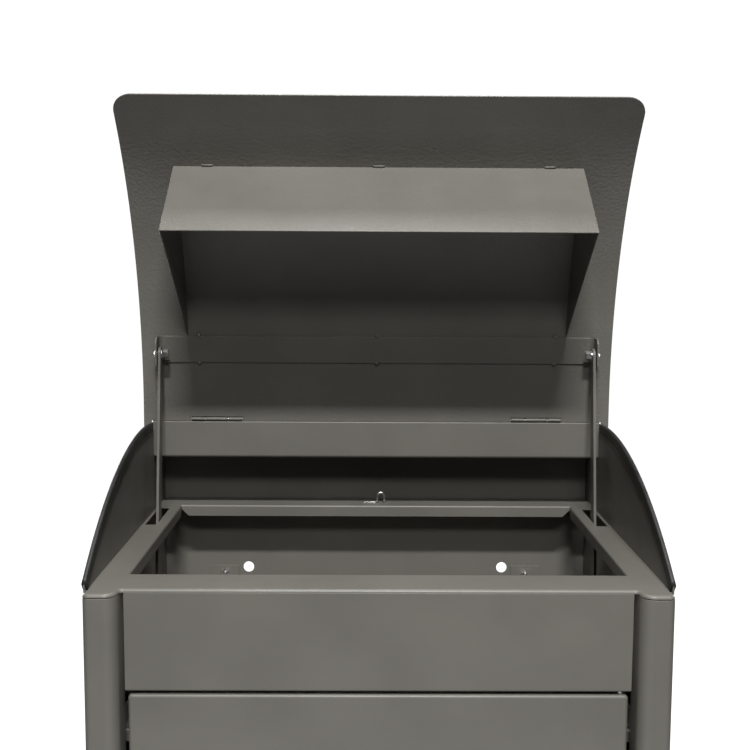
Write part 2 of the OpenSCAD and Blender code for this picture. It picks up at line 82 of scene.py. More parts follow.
# Top sheet's front edge: its bend, its concave turn beside each post, and the fascia under it
TOP_BEND = 2.6
TOP_ROOT = 3.0
FASCIA_LOW = low("top_frame").z
FASCIA_HALF = 192.0
FASCIA_RETURN = 16.0

# Rear cover: a riser with a return at its foot, and a top that widens a step behind the riser
COVER_TOP = high("rear_cover").z
COVER_RETURN = 12.0
COVER_STEP = 4.0
RISER_LOW = low("rear_cover").z
RISER = low("rear_cover").y

# Wall holes in the back panel
HOLE_X = 132.7
HOLE_HEIGHTS = (75.0, TOP - 74.1)
HOLE_RADIUS = 5.5

# Joints
AXIS_Y = JOINTS["lid_hinge"]["pos_m"][1] / MM
AXIS_Z = JOINTS["lid_hinge"]["pos_m"][2] / MM
PIVOT_Y = JOINTS["right_link_pivot"]["pos_m"][1] / MM
PIVOT_Z = JOINTS["right_link_pivot"]["pos_m"][2] / MM

# Drop opening with its folded lips, and arm slots, behind the door's face
OPEN_X = 195.8
OPEN_FRONT = FACE + 40.5
OPEN_REAR = FACE + 282.7
LIP = 11.0
LIP_BEND = 1.8
LIP_MITRE = 4.0
SLOT_IN = 205.2
SLOT_OUT = 216.0
SLOT_FRONT = FACE + 200.0
SLOT_REAR = FACE + 272.0

# Lid: a short flat strip at the hinge and an arc up to the tip
LID_HALF = high("lid_panel").x
LID_OUTER = 397.2
LID_INNER = LID_OUTER - SHEET
LID_STRAIGHT = 11.0
LID_ARC = math.radians(45.5)
LID_FACE = 0.75
LID_CENTRE = LID_FACE - LID_OUTER
LID_CORNER = 18.0
LID_EDGE = 1.8
LID_TAB = 9.0
TAB_IN = HALF + 0.4
EDGE_STRIP = 3.0

# Lid hinges, on the hinge axis
HINGE_X = 156.5
HINGE_LENGTH = 50.0
HINGE_GAP = 0.6
BARREL = 1.75
KNUCKLE_CUTS = (0, 0.28, 0.72, 1)
KNUCKLE_GAP = 0.4
KNUCKLE_RIM = 0.35
LEAF_SHEET = 1.0
LEAF_ROOT = 1.2
LEAF_END = 17.0
LEAF_CORNER = 3.0

# Hood on the lid's inner face: distance out from the hinge axis and drop from it
HOOD_HALF = high("hood").x
HOOD_TIP = (179.3, -144.1)
HOOD_ROOT_OUT = 238.1
HOOD_END_OUT = 82.6
HOOD_CLEAR = 0.1
HOOD_WELD_X = 153.0
HOOD_WELD_HALF = 5.5
HOOD_WELD_RADIUS = 1.5

# Crossbar on the lid's inner face
BAR_NEAR = 56.0
BAR_FAR = 82.0
BAR_SHEET = 1.6
BAR_BEND = 7.0
EAR_OUTER = high("crossbar").x
EAR_RADIUS = 9.0
EAR_LOW = 50.0
EAR_CORNER = 7.0
BAR_WELD_X = 172.5
BAR_WELD_RADIUS = 2.5

# Edge trim over the side panels' curved edges, concentric with the closed lid and under it
CLOSED = math.radians(JOINTS["lid_hinge"]["range_deg"][1] - 90.0)
ARC_Y = AXIS_Y - LID_STRAIGHT * math.cos(CLOSED) - LID_CENTRE * math.sin(CLOSED)
ARC_Z = AXIS_Z - LID_STRAIGHT * math.sin(CLOSED) + LID_CENTRE * math.cos(CLOSED)
TRIM_UNDER_LID = 2.4
TRIM_RADIUS = LID_INNER - TRIM_UNDER_LID
TRIM_DEEP = 9.0
TRIM_WALL = 1.2
TRIM_FRONT = low("edge_trim_right").y
TRIM_REAR = high("edge_trim_right").y
TRIM_SHORT = 0.3

# Where the side walls begin, behind the rounded front
SIDE_FRONT = TRIM_FRONT + 1.0

# Link arms: distances down from the upper pivot, along the arm
ARM_LEAN = math.radians(8)
ARM_REACH = 259.6
ARM_SLIDE = 33.4
ARM_RADIUS = 7.0
ARM_END = ARM_REACH + ARM_SLIDE + 2.0
ARM_HOLE = 2.56
ARM_SLOT = 3.5
ARM_SLOT_PLAY = 1.5

# Tray
TRAY_BEND = 2.0
TRAY_LIP = 10.0
TRAY_SIDE = 14.8
TRAY_TAPER = 20.0
TRAY_END = 3.0

# Wire eye: the wire's radius, the loop's radius, its legs and its foot
WIRE = 1.2
EYE_RADIUS = 3.5
EYE_LEG = 7.0
EYE_FOOT = 14.0

# Light that comes from everywhere, and the white that only the camera sees
AMBIENT = 0.005
FLOOR_GLOW = 1.0
BACKDROP = 1.05


# ---- Mesh helpers ----

def arc(cx, cy, radius, start, end, steps):
    """Points on a circle from one angle to another, in degrees."""
    points = []
    for i in range(steps + 1):
        angle = math.radians(start + (end - start) * i / steps)
        points.append((cx + radius * math.cos(angle), cy + radius * math.sin(angle)))
    return points


def circle(cx, cy, radius, steps=40):
    """Points all the way round a circle."""
    return arc(cx, cy, radius, 0, 360, steps)[:-1]


def quarter(radius, steps):
    """A quarter bend, as (distance in from its tangent, distance along it)."""
    angles = [math.radians(90 * i / steps) for i in range(steps + 1)]
    return [(radius * (1 - math.cos(a)), radius * math.sin(a)) for a in angles]


def new_object(name, mesh):
    """Puts a mesh into the scene as an object."""
    piece = bpy.data.objects.new(name, mesh)
    bpy.context.scene.collection.objects.link(piece)
    return piece


def clean_mesh(name, points, faces, outward=None):
    """A mesh in metres from points in millimetres, its first face turned to look outward."""
    mesh = bpy.data.meshes.new(name)
    mesh.from_pydata([Vector(p) * MM for p in points], [], faces)
    work = bmesh.new()
    work.from_mesh(mesh)
    bmesh.ops.remove_doubles(work, verts=work.verts, dist=0.00001)
    loose = [v for v in work.verts if not v.link_faces]
    bmesh.ops.delete(work, geom=loose, context="VERTS")
    bmesh.ops.recalc_face_normals(work, faces=work.faces)
    work.faces.ensure_lookup_table()
    if outward is not None and work.faces[0].normal.dot(Vector(outward)) < 0:
        bmesh.ops.reverse_faces(work, faces=work.faces)
    for face in work.faces:
        face.smooth = True
    work.to_mesh(mesh)
    work.free()
    return mesh


def add_bevel(piece, width, angle=32):
    """Rounds the edges that turn by more than an angle in degrees; the width is in millimetres."""
    bevel = piece.modifiers.new("rounded edges", "BEVEL")
    bevel.width = width * MM
    bevel.segments = 2
    bevel.limit_method = "ANGLE"
    bevel.angle_limit = math.radians(angle)
    bevel.use_clamp_overlap = True
    bevel.harden_normals = True


def add_flat_shading(piece):
    """Keeps flat faces flat beside their rounded edges."""
    weighted = piece.modifiers.new("face weighted normals", "WEIGHTED_NORMAL")
    weighted.weight = 100
    weighted.keep_sharp = True


def sheet_metal(name, points, faces, outward, thickness=SHEET, rim=0.35):
    """Sheet metal from its outer surface: thickened inward, with rounded cut edges."""
    piece = new_object(name, clean_mesh(name, points, faces, outward))
    solid = piece.modifiers.new("sheet thickness", "SOLIDIFY")
    solid.thickness = thickness * MM
    solid.offset = -1
    solid.use_even_offset = True
    add_bevel(piece, rim)
    add_flat_shading(piece)
    return piece


def grid(rows):
    """Points and quads of a grid given as rows of equal length."""
    width = len(rows[0])
    points = [p for row in rows for p in row]
    faces = []
    for i in range(len(rows) - 1):
        for j in range(width - 1):
            a = i * width + j
            faces.append((a, a + 1, a + width + 1, a + width))
    return points, faces


def tube(name, rings):
    """A closed form from rings of equal length, with a flat face on its first and last ring."""
    count = len(rings[0])
    points = [p for ring in rings for p in ring]
    faces = []
    for i in range(len(rings) - 1):
        for j in range(count):
            n = (j + 1) % count
            faces.append((i * count + j, i * count + n, (i + 1) * count + n, (i + 1) * count + j))
    faces.append(tuple(range(count)))
    faces.append(tuple(range((len(rings) - 1) * count, len(rings) * count)))
    piece = new_object(name, clean_mesh(name, points, faces))
    add_flat_shading(piece)
    return piece


def joined(points, faces, more, more_faces):
    """Adds a second set of points and faces to a first."""
    first = len(points)
    moved = [tuple(i + first for i in face) for face in more_faces]
    return points + more, faces + moved


def filled(outlines):
    """Triangles that fill the first outline around the others, as points and faces."""
    curve = bpy.data.curves.new("outline", "CURVE")
    curve.dimensions = "2D"
    curve.fill_mode = "FRONT"
    for outline in outlines:
        spline = curve.splines.new("POLY")
        spline.points.add(len(outline) - 1)
        spline.use_cyclic_u = True
        for point, (x, y) in zip(spline.points, outline):
            point.co = (x, y, 0, 1)
    helper = bpy.data.objects.new("outline", curve)
    mesh = bpy.data.meshes.new_from_object(helper)
    points = [tuple(v.co) for v in mesh.vertices]
    faces = [tuple(p.vertices) for p in mesh.polygons]
    bpy.data.objects.remove(helper)
    bpy.data.meshes.remove(mesh)
    bpy.data.curves.remove(curve)
    return points, faces


def plate(name, outlines, place, outward, thickness=SHEET, rim=0.35):
    """A flat sheet with holes: place turns a flat point (u, v) into a point of the part."""
    points, faces = filled(outlines)
    return sheet_metal(name, [place(p[0], p[1]) for p in points], faces, outward, thickness, rim)


def settle(piece, body, slot, material, *nodes):
    """Gives a new piece its body and material, and hides the CAD nodes it stands for; its slot is not
    used.
    """
    piece.data.materials.clear()
    piece.data.materials.append(material)
    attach(piece, body)
    if nodes:
        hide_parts(*nodes)
    return piece


def mirrored(points):
    """The same points on the other side of the body."""
    return [(-p[0], p[1], p[2]) for p in points]


# ---- Materials ----

def node_material(name):
    """A new material, its nodes, its links, its shader and its object coordinates."""
    material = bpy.data.materials.new(name)
    material.use_nodes = True
    nodes = material.node_tree.nodes
    shader = nodes["Principled BSDF"]
    coords = nodes.new("ShaderNodeTexCoord")
    return material, nodes, material.node_tree.links, shader, coords.outputs["Object"]


def noise(nodes, links, coords, scale, detail=2.0, stretch=None):
    """A noise value with about as many lumps in a metre as its scale says."""
    texture = nodes.new("ShaderNodeTexNoise")
    texture.inputs["Scale"].default_value = scale
    texture.inputs["Detail"].default_value = detail
    if stretch:
        mapping = nodes.new("ShaderNodeMapping")
        mapping.inputs["Scale"].default_value = stretch
        links.new(coords, mapping.inputs["Vector"])
        coords = mapping.outputs["Vector"]
    links.new(coords, texture.inputs["Vector"])
    return texture.outputs["Fac"]


def spread(nodes, links, value, start, end):
    """Maps the useful part of a noise value to a range."""
    scaled = nodes.new("ShaderNodeMapRange")
    scaled.inputs["From Min"].default_value = 0.3
    scaled.inputs["From Max"].default_value = 0.7
    scaled.inputs["To Min"].default_value = start
    scaled.inputs["To Max"].default_value = end
    links.new(value, scaled.inputs["Value"])
    return scaled.outputs["Result"]


def tint(nodes, links, value, dark, light):
    """Maps the middle of a noise value to two colours."""
    ramp = nodes.new("ShaderNodeValToRGB")
    ramp.color_ramp.elements[0].position = 0.35
    ramp.color_ramp.elements[0].color = (*dark, 1)
    ramp.color_ramp.elements[1].position = 0.65
    ramp.color_ramp.elements[1].color = (*light, 1)
    links.new(value, ramp.inputs["Fac"])
    return ramp.outputs["Color"]


def bumps(nodes, links, shader, layers):
    """Chains bump layers, each a height value and its depth in millimetres."""
    previous = None
    for height, depth in layers:
        bump = nodes.new("ShaderNodeBump")
        bump.inputs["Strength"].default_value = 1.0
        bump.inputs["Distance"].default_value = depth * MM
        links.new(height, bump.inputs["Height"])
        if previous:
            links.new(previous, bump.inputs["Normal"])
        previous = bump.outputs["Normal"]
    links.new(previous, shader.inputs["Normal"])


def powder_coat(name, color, rough, peel, hammer):
    """Powder coat: orange peel about 1 mm wide over hammered waves about 3 mm wide."""
    material, nodes, links, shader, coords = node_material(name)
    cloud = noise(nodes, links, coords, scale=14.0, detail=3.0)
    dark = [c * 0.94 for c in color]
    light = [c * 1.06 for c in color]
    links.new(tint(nodes, links, cloud, dark, light), shader.inputs["Base Color"])
    patches = noise(nodes, links, coords, scale=45.0, detail=4.0)
    gloss = spread(nodes, links, patches, rough - 0.03, rough + 0.04)
    links.new(gloss, shader.inputs["Roughness"])
    fine = noise(nodes, links, coords, scale=900.0, detail=1.0)
    waves = noise(nodes, links, coords, scale=360.0, detail=1.5)
    bumps(nodes, links, shader, [(waves, hammer), (fine, peel)])
    shader.inputs["IOR"].default_value = 1.5
    shader.inputs["Coat Weight"].default_value = 0.15
    shader.inputs["Coat Roughness"].default_value = 0.3
    return material


def plated_steel(name, color, rough):
    """Plated steel: fine lines and blotchy gloss."""
    material, nodes, links, shader, coords = node_material(name)
    blotch = noise(nodes, links, coords, scale=160.0, detail=3.0)
    dark = [c * 0.86 for c in color]
    links.new(tint(nodes, links, blotch, dark, color), shader.inputs["Base Color"])
    gloss = spread(nodes, links, blotch, rough - 0.06, rough + 0.1)
    links.new(gloss, shader.inputs["Roughness"])
    lines = noise(nodes, links, coords, scale=1500.0, detail=2.0, stretch=(1.0, 0.15, 1.0))
    bumps(nodes, links, shader, [(lines, 0.006)])
    shader.inputs["Metallic"].default_value = 1.0
    return material


def rubber(name):
    """Black extruded rubber with a dull bloom and fine pores."""
    material, nodes, links, shader, coords = node_material(name)
    bloom = noise(nodes, links, coords, scale=60.0, detail=4.0)
    links.new(tint(nodes, links, bloom, (0.014, 0.014, 0.013), (0.028, 0.027, 0.025)),
              shader.inputs["Base Color"])
    links.new(spread(nodes, links, bloom, 0.5, 0.66), shader.inputs["Roughness"])
    pores = noise(nodes, links, coords, scale=1800.0, detail=2.0)
    bumps(nodes, links, shader, [(pores, 0.02)])
    return material


PAINT = (0.128, 0.122, 0.106)
body_paint = powder_coat("body powder coat", PAINT, rough=0.5, peel=0.012, hammer=0.035)
lid_paint = powder_coat("lid powder coat", PAINT, rough=0.5, peel=0.02, hammer=0.32)
door_paint = powder_coat("door powder coat", PAINT, rough=0.5, peel=0.012, hammer=0.035)
link_paint = powder_coat("link powder coat", PAINT, rough=0.46, peel=0.012, hammer=0.02)
zinc = plated_steel("zinc plated steel", (0.66, 0.66, 0.64), rough=0.3)
lock_metal = plated_steel("lock chrome", (0.75, 0.75, 0.76), rough=0.16)
trim_rubber = rubber("black edge rubber")


# ---- Lid ----

def lid_point(x, out, drop):
    """A point of the open lid: out is the distance up from the hinge axis, drop is the way back."""
    return (x, AXIS_Y + drop, AXIS_Z + out)


def inner_drop(out):
    """Where the lid's inner face is at a distance from the hinge axis."""
    return LID_CENTRE + math.sqrt(LID_INNER ** 2 - (out - LID_STRAIGHT) ** 2)


def lid_half_width(from_tip):
    """Half the lid's width at a distance from its tip, where its corners are rounded."""
    if from_tip >= LID_CORNER:
        return LID_HALF
    rise = LID_CORNER - from_tip
    return LID_HALF - LID_CORNER + math.sqrt(LID_CORNER ** 2 - rise ** 2)


def lid_stations():
    """The lid's rows from the hinge to the tip: how far out, how far back, and to the tip."""
    arc_steps = 44
    corner_steps = 10
    long = LID_OUTER * LID_ARC
    flat = (-LID_TAB, -LID_EDGE, BARREL + HINGE_GAP, LID_STRAIGHT)
    stations = [(out, LID_FACE, long) for out in flat]
    distances = [long - (long - LID_CORNER) * i / arc_steps for i in range(1, arc_steps)]
    distances += [inset for inset, _ in reversed(quarter(LID_CORNER, corner_steps))]
    for distance in distances:
        angle = LID_ARC - distance / LID_OUTER
        out = LID_STRAIGHT + LID_OUTER * math.sin(angle)
        stations.append((out, LID_CENTRE + LID_OUTER * math.cos(angle), distance))
    return stations


def make_lid_shell():
    """The curved lid, with notches for the hinges and a tab at each rear corner."""
    notch = HINGE_LENGTH / 2 + HINGE_GAP
    columns = [-HINGE_X - notch, -HINGE_X + notch, HINGE_X - notch, HINGE_X + notch]
    rows = []
    for out, drop, distance in lid_stations():
        side = lid_half_width(distance)
        tab = min(TAB_IN, side - EDGE_STRIP)
        rows.append([lid_point(x, out, drop) for x in [-side, -tab] + columns + [tab, side]])
    points, faces = grid(rows)
    kept = []
    for face in faces:
        row = face[0] // len(rows[0])
        middle = abs(sum(points[i][0] for i in face) / len(face))
        # The first row is only the tabs outside the body, and the second has the hinge notches
        if row == 0 and middle < TAB_IN:
            continue
        if row == 1 and abs(middle - HINGE_X) < notch:
            continue
        kept.append(face)
    piece = sheet_metal("lid_shell", points, kept, (0, 1, 0), rim=0.4)
    return settle(piece, "lid", "lid_paint", lid_paint, "lid_panel")


def make_hood():
    """The hood inside the lid: a sloping plate between two side plates that follow the lid."""
    steps = 14
    side = [HOOD_TIP]
    for i in range(steps + 1):
        out = HOOD_ROOT_OUT + (HOOD_END_OUT - HOOD_ROOT_OUT) * i / steps
        side.append((out, inner_drop(out) - HOOD_CLEAR))
    points = []
    for x in (-HOOD_HALF, HOOD_HALF):
        points += [lid_point(x, out, drop) for out, drop in side]
    count = len(side)
    faces = [(0, 1, count + 1, count), tuple(range(count)), tuple(range(count, 2 * count))]
    piece = sheet_metal("hood_shell", points, faces, (0, -1, 1), rim=0.55)
    return settle(piece, "lid", "lid_paint", lid_paint, "hood")


def bead(name, start, end, radius):
    """A weld bead: a flattened tube with ripples and round ends."""
    steps = 24
    sides = 12
    ripples = 3.5
    ripple = 0.1
    flat = 0.6
    start = Vector(start)
    end = Vector(end)
    along = (end - start).normalized()
    side = along.cross(Vector((0, 0, 1))).normalized()
    up = along.cross(side)
    rings = []
    for i in range(steps + 1):
        t = i / steps
        swell = math.sqrt(max(0.02, 1 - (2 * t - 1) ** 4))
        r = radius * swell * (1 + ripple * math.sin(math.tau * ripples * t))
        centre = start.lerp(end, t)
        rings.append([tuple(centre + side * u + up * v * flat) for u, v in circle(0, 0, r, sides)])
    return tube(name, rings)


def make_hood_welds():
    """Three short beads along the hood's root."""
    beyond = 0.6
    lift = 0.9
    out = HOOD_ROOT_OUT + beyond
    drop = inner_drop(HOOD_ROOT_OUT) - lift
    for number, x in enumerate((-HOOD_WELD_X, 0, HOOD_WELD_X)):
        start = lid_point(x - HOOD_WELD_HALF, out, drop)
        end = lid_point(x + HOOD_WELD_HALF, out, drop)
        piece = bead(f"hood_weld_{number}", start, end, HOOD_WELD_RADIUS)
        settle(piece, "lid", "lid_paint", lid_paint)
    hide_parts("hood_welds")


def make_crossbar():
    """The crossbar: a web on the lid, bent at both ends into an ear for the link arm."""
    near = inner_drop(BAR_NEAR)
    far = inner_drop(BAR_FAR)
    web_half = EAR_OUTER - BAR_BEND
    fold = quarter(BAR_BEND, 6)
    bends = [(-web_half - reach, inset) for inset, reach in reversed(fold)]
    bends += [(web_half + reach, inset) for inset, reach in fold]
    rows = []
    for x, inset in bends:
        rows.append([lid_point(x, BAR_NEAR, near - inset), lid_point(x, BAR_FAR, far - inset)])
    points, faces = grid(rows)
    # Ear plates: from the web's near edge round the pivot to its far edge
    front = PIVOT_Y - AXIS_Y - EAR_RADIUS
    ear = [(BAR_NEAR, near - BAR_BEND), (EAR_LOW, near - BAR_BEND)]
    ear += arc(EAR_LOW + EAR_CORNER, front + EAR_CORNER, EAR_CORNER, 180, 270, 8)
    ear += arc(BAR_FAR - EAR_CORNER, front + EAR_CORNER, EAR_CORNER, 270, 360, 8)
    ear += [(BAR_FAR, far - BAR_BEND)]
    for x in (-EAR_OUTER, EAR_OUTER):
        plate_points = [lid_point(x, out, drop) for out, drop in ear]
        points, faces = joined(points, faces, plate_points, [range(len(ear))])
    piece = sheet_metal("crossbar_fold", points, faces, (-1, 0, 0), BAR_SHEET, rim=0.4)
    return settle(piece, "lid", "lid_paint", lid_paint, "crossbar")


def weld_spot(name, centre, radius):
    """A small weld spot: a lumpy flattened dome, its foot sunk into the sheet."""
    steps = 8
    sides = 20
    sunk = 0.35
    squash = 0.9
    rings = []
    for i in range(steps + 1):
        lift = (1 + sunk) * i / steps - sunk
        r = radius * math.sqrt(max(0.0004, 1 - lift * lift))
        ring = []
        for k in range(sides):
            angle = math.tau * k / sides
            lump = 1 + 0.05 * math.sin(3 * angle + i)
            ring.append((centre[0] + r * lump * math.cos(angle),
                         centre[1] - lift * radius * squash,
                         centre[2] + r * lump * math.sin(angle)))
        rings.append(ring)
    return tube(name, rings)


def make_crossbar_welds():
    """Three weld spots on each long edge of the crossbar."""
    beyond = 0.4
    lift = 0.3
    pieces = []
    for x in (-BAR_WELD_X, 0, BAR_WELD_X):
        for out in (BAR_NEAR - beyond, BAR_FAR + beyond):
            centre = lid_point(x, out, inner_drop(out) - lift)
            piece = weld_spot(f"crossbar_weld_{len(pieces)}", centre, BAR_WELD_RADIUS)
            pieces.append(settle(piece, "lid", "lid_paint", lid_paint))
    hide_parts("crossbar_welds")


# ---- Lid hinges ----

def make_knuckle(name, x0, x1):
    """A hinge knuckle: a bar on the hinge axis with rounded ends."""
    sides = 28
    shoulder = KNUCKLE_RIM * 0.3
    rings = []
    for x, less in ((x0, KNUCKLE_RIM), (x0 + shoulder, shoulder), (x0 + KNUCKLE_RIM, 0),
                    (x1 - KNUCKLE_RIM, 0), (x1 - shoulder, shoulder), (x1, KNUCKLE_RIM)):
        rings.append([(x, y, z) for y, z in circle(AXIS_Y, AXIS_Z, BARREL - less, sides)])
    return tube(name, rings)


def leaf_outline(x0, x1, root, end):
    """A hinge leaf, square at the knuckles and with two rounded corners at its far end."""
    inward = math.copysign(1, root - end)
    corner = [(across, end + inward * (LEAF_CORNER - along))
              for across, along in quarter(LEAF_CORNER, 3)]
    right = [(x1 - across, z) for across, z in corner]
    left = [(x0 + across, z) for across, z in reversed(corner)]
    return [(x0, root), (x1, root)] + right + left


def make_hinge(side, label):
    """A butt hinge: three knuckles, a leaf down on the riser and a leaf up on the lid."""
    start = HINGE_X - HINGE_LENGTH / 2
    for i in range(3):
        cut_from = side * (start + KNUCKLE_CUTS[i] * HINGE_LENGTH + KNUCKLE_GAP)
        cut_to = side * (start + KNUCKLE_CUTS[i + 1] * HINGE_LENGTH - KNUCKLE_GAP)
        body = "lid" if i == 1 else "cabinet"
        knuckle = make_knuckle(f"knuckle_{label}_{i}", min(cut_from, cut_to), max(cut_from, cut_to))
        settle(knuckle, body, "lid_paint", lid_paint)
    x0, x1 = sorted((side * start, side * (start + HINGE_LENGTH)))
    y = AXIS_Y + BARREL
    for body, node, up in (("cabinet", "lid_hinge_body_leaves", -1), ("lid", "lid_hinge_lid_leaves", 1)):
        leaf = leaf_outline(x0, x1, AXIS_Z + up * LEAF_ROOT, AXIS_Z + up * LEAF_END)
        piece = plate(f"hinge_leaf_{body}_{label}", [leaf], lambda u, v: (u, y, v), (0, 1, 0),
                      LEAF_SHEET, rim=0.3)
        settle(piece, body, "lid_paint", lid_paint)
        if side > 0:
            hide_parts(node)


# ---- Body ----

def post_path():
    """Plan of the right front post from its inner flange to the side wall, as (x, y)."""
    inner = POST_IN_RADIUS
    outer = POST_OUT_RADIUS
    path = [(POST, FACE + POST_DEEP)]
    path += arc(POST + inner, POST_FRONT + inner, inner, 180, 270, 10)
    path += arc(HALF - outer, POST_FRONT + outer, outer, 270, 360, 8)
    return path


def cheek_top(y):
    """Height of the side panel's edge: curved under the trim, then level under the rear cover."""
    if y > TRIM_REAR:
        return COVER_TOP - SHEET
    radius = TRIM_RADIUS - SHEET
    height = ARC_Z + math.sqrt(radius ** 2 - (y - ARC_Y) ** 2)
    return min(height, COVER_TOP - SHEET)


def make_side_panel(side, label, node):
    """A side panel: the front post up to the top sheet, and the wall up to its curved edge."""
    steps = 40
    wall_ys = [SIDE_FRONT + (BACK - SIDE_FRONT) * i / steps for i in range(steps + 1)]
    post_top = TOP - TOP_BEND - POST_GAP
    plan = post_path() + [(HALF, y) for y in wall_ys]
    points, faces = grid([[(x, y, z) for x, y in plan] for z in (0, post_top)])
    cheek = [[(HALF, y, post_top) for y in wall_ys], [(HALF, y, cheek_top(y)) for y in wall_ys]]
    points, faces = joined(points, faces, *grid(cheek))
    if side < 0:
        points = mirrored(points)
    piece = sheet_metal(f"side_sheet_{label}", points, faces, (-side, 0, 0), rim=0.3)
    return settle(piece, "cabinet", "body_paint", body_paint, node)


def top_front_path():
    """Front edge of the top sheet from right to left: post, concave turn, fascia, mirrored."""
    inner = POST_IN_RADIUS
    outer = POST_OUT_RADIUS
    right = [(HALF, SIDE_FRONT)]
    right += arc(HALF - outer, POST_FRONT + outer, outer, 0, -90, 8)
    right += arc(POST + inner, POST_FRONT + inner, inner, -90, -180, 10)
    right += arc(POST - TOP_ROOT, FACE - TOP_ROOT, TOP_ROOT, 0, 90, 6)
    return right + [(-x, y) for x, y in reversed(right)]


def offset_path(path, distance):
    """Moves each point of an open path to the right of its direction by a distance."""
    moved = []
    for i, (x, y) in enumerate(path):
        before = path[max(i - 1, 0)]
        after = path[min(i + 1, len(path) - 1)]
        tangent = Vector((after[0] - before[0], after[1] - before[1])).normalized()
        moved.append((x + tangent.y * distance, y - tangent.x * distance))
    return moved


def front_bend():
    """The bend along the top sheet's front edge, as rings from its foot up to the flat top."""
    least_step = 0.05
    path = top_front_path()
    path = [p for i, p in enumerate(path) if i == 0 or math.dist(p, path[i - 1]) > least_step]
    rings = []
    for inset, rise in quarter(TOP_BEND, 5):
        moved = offset_path(path, inset)
        rings.append([(max(-HALF, min(HALF, x)), y, TOP - TOP_BEND + rise) for x, y in moved])
    return rings


def opening_lips(corners):
    """The four folded lips: a bend, then straight down, mitred at the corners."""
    middle = (OPEN_FRONT + OPEN_REAR) / 2
    loops = []
    for drop, along in quarter(LIP_BEND, 5):
        reach = LIP_BEND - along
        loops.append([(x + math.copysign(reach, x), y + math.copysign(reach, y - middle), TOP - drop)
                      for x, y in corners])
    loops.append([(x, y, TOP - LIP_MITRE) for x, y in corners])
    strips = []
    for i in range(4):
        k = (i + 1) % 4
        start = Vector(corners[i])
        end = Vector(corners[k])
        mitre = (end - start).normalized() * (LIP - LIP_MITRE)
        strip = [[loop[i], loop[k]] for loop in loops]
        strip.append([(*(start + mitre), TOP - LIP), (*(end - mitre), TOP - LIP)])
        strips.append(strip)
    return strips


def make_top_sheet():
    """The top sheet: its front bend, the flat top with the opening and slots, and the lips."""
    rings = front_bend()
    points, faces = grid(rings)
    edge = [(x, y) for x, y, _ in rings[-1]]
    outline = edge + [(-INNER, edge[-1][1]), (-INNER, WALL), (INNER, WALL), (INNER, edge[0][1])]
    corners = [(-OPEN_X, OPEN_FRONT), (OPEN_X, OPEN_FRONT), (OPEN_X, OPEN_REAR), (-OPEN_X, OPEN_REAR)]
    lips = opening_lips(corners)
    opening = [strip[0][0][:2] for strip in lips]
    slots = [[(s * SLOT_IN, SLOT_FRONT), (s * SLOT_OUT, SLOT_FRONT),
              (s * SLOT_OUT, SLOT_REAR), (s * SLOT_IN, SLOT_REAR)] for s in (-1, 1)]
    flat, flat_faces = filled([outline, opening] + slots)
    points, faces = joined(points, faces, [(x, y, TOP) for x, y, _ in flat], flat_faces)
    for strip in lips:
        points, faces = joined(points, faces, *grid(strip))
    piece = sheet_metal("top_sheet", points, faces, (1, 0, 0), rim=0.3)
    return settle(piece, "cabinet", "body_paint", body_paint, "top_frame")


def make_fascia():
    """The fascia under the front bend, with a return along its lower edge."""
    bend = 2.0
    path = [(FACE, TOP - TOP_BEND)]
    path += arc(FACE + bend, FASCIA_LOW + bend, bend, 180, 270, 6)
    path += [(FACE + FASCIA_RETURN, FASCIA_LOW)]
    points, faces = grid([[(x, y, z) for x in (-FASCIA_HALF, FASCIA_HALF)] for y, z in path])
    piece = sheet_metal("fascia_sheet", points, faces, (0, -1, 0))
    return settle(piece, "cabinet", "body_paint", body_paint)


def make_rear_cover():
    """The riser that carries the hinges, and the cover from it to the back at full width."""
    foot_bend = 3.0
    top_bend = 1.2
    step = RISER + COVER_STEP
    step_run = 0.2
    side_gap = 0.1
    outer = HALF - side_gap
    fold = [(RISER + COVER_RETURN, RISER_LOW)]
    fold += arc(RISER + foot_bend, RISER_LOW + foot_bend, foot_bend, 270, 180, 8)
    fold += arc(RISER + top_bend, COVER_TOP - top_bend, top_bend, 180, 90, 5)
    fold += [(step, COVER_TOP)]
    path = [(y, z, INNER) for y, z in fold]
    path += [(step + step_run, COVER_TOP, outer), (BACK, COVER_TOP, outer)]
    points, faces = grid([[(-half, y, z), (half, y, z)] for y, z, half in path])
    piece = sheet_metal("rear_cover_fold", points, faces, (0, 0, -1), rim=0.3)
    return settle(piece, "cabinet", "body_paint", body_paint, "rear_cover")


def make_back_panel():
    """The back panel with its four wall holes."""
    height = COVER_TOP - SHEET
    outline = [(-INNER, 0), (INNER, 0), (INNER, height), (-INNER, height)]
    holes = [circle(x, z, HOLE_RADIUS) for x in (-HOLE_X, HOLE_X) for z in HOLE_HEIGHTS]
    piece = plate("back_sheet", [outline] + holes, lambda u, v: (u, BACK, v), (0, 1, 0), rim=0.3)
    return settle(piece, "cabinet", "body_paint", body_paint, "back_panel")


def trim_profile():
    """Section of the rubber channel, as (across the panel, up from the trim's crown)."""
    slot = SHEET / 2
    slot_gap = 0.2
    lip_in = 0.5
    lip_down = 0.3
    outer = slot + TRIM_WALL
    roof = -TRIM_WALL - slot_gap
    shoulder = -TRIM_WALL
    lip = outer - lip_in
    lip_low = -TRIM_DEEP - lip_down
    profile = [(-outer, -TRIM_DEEP), (-outer, shoulder)]
    for angle in (30, 60, 90, 120, 150):
        turn = math.radians(angle)
        profile.append((-outer * math.cos(turn), shoulder - shoulder * math.sin(turn)))
    profile += [(outer, shoulder), (outer, -TRIM_DEEP), (lip, lip_low), (slot, -TRIM_DEEP)]
    profile += [(slot, roof), (-slot, roof), (-slot, -TRIM_DEEP), (-lip, lip_low)]
    return profile


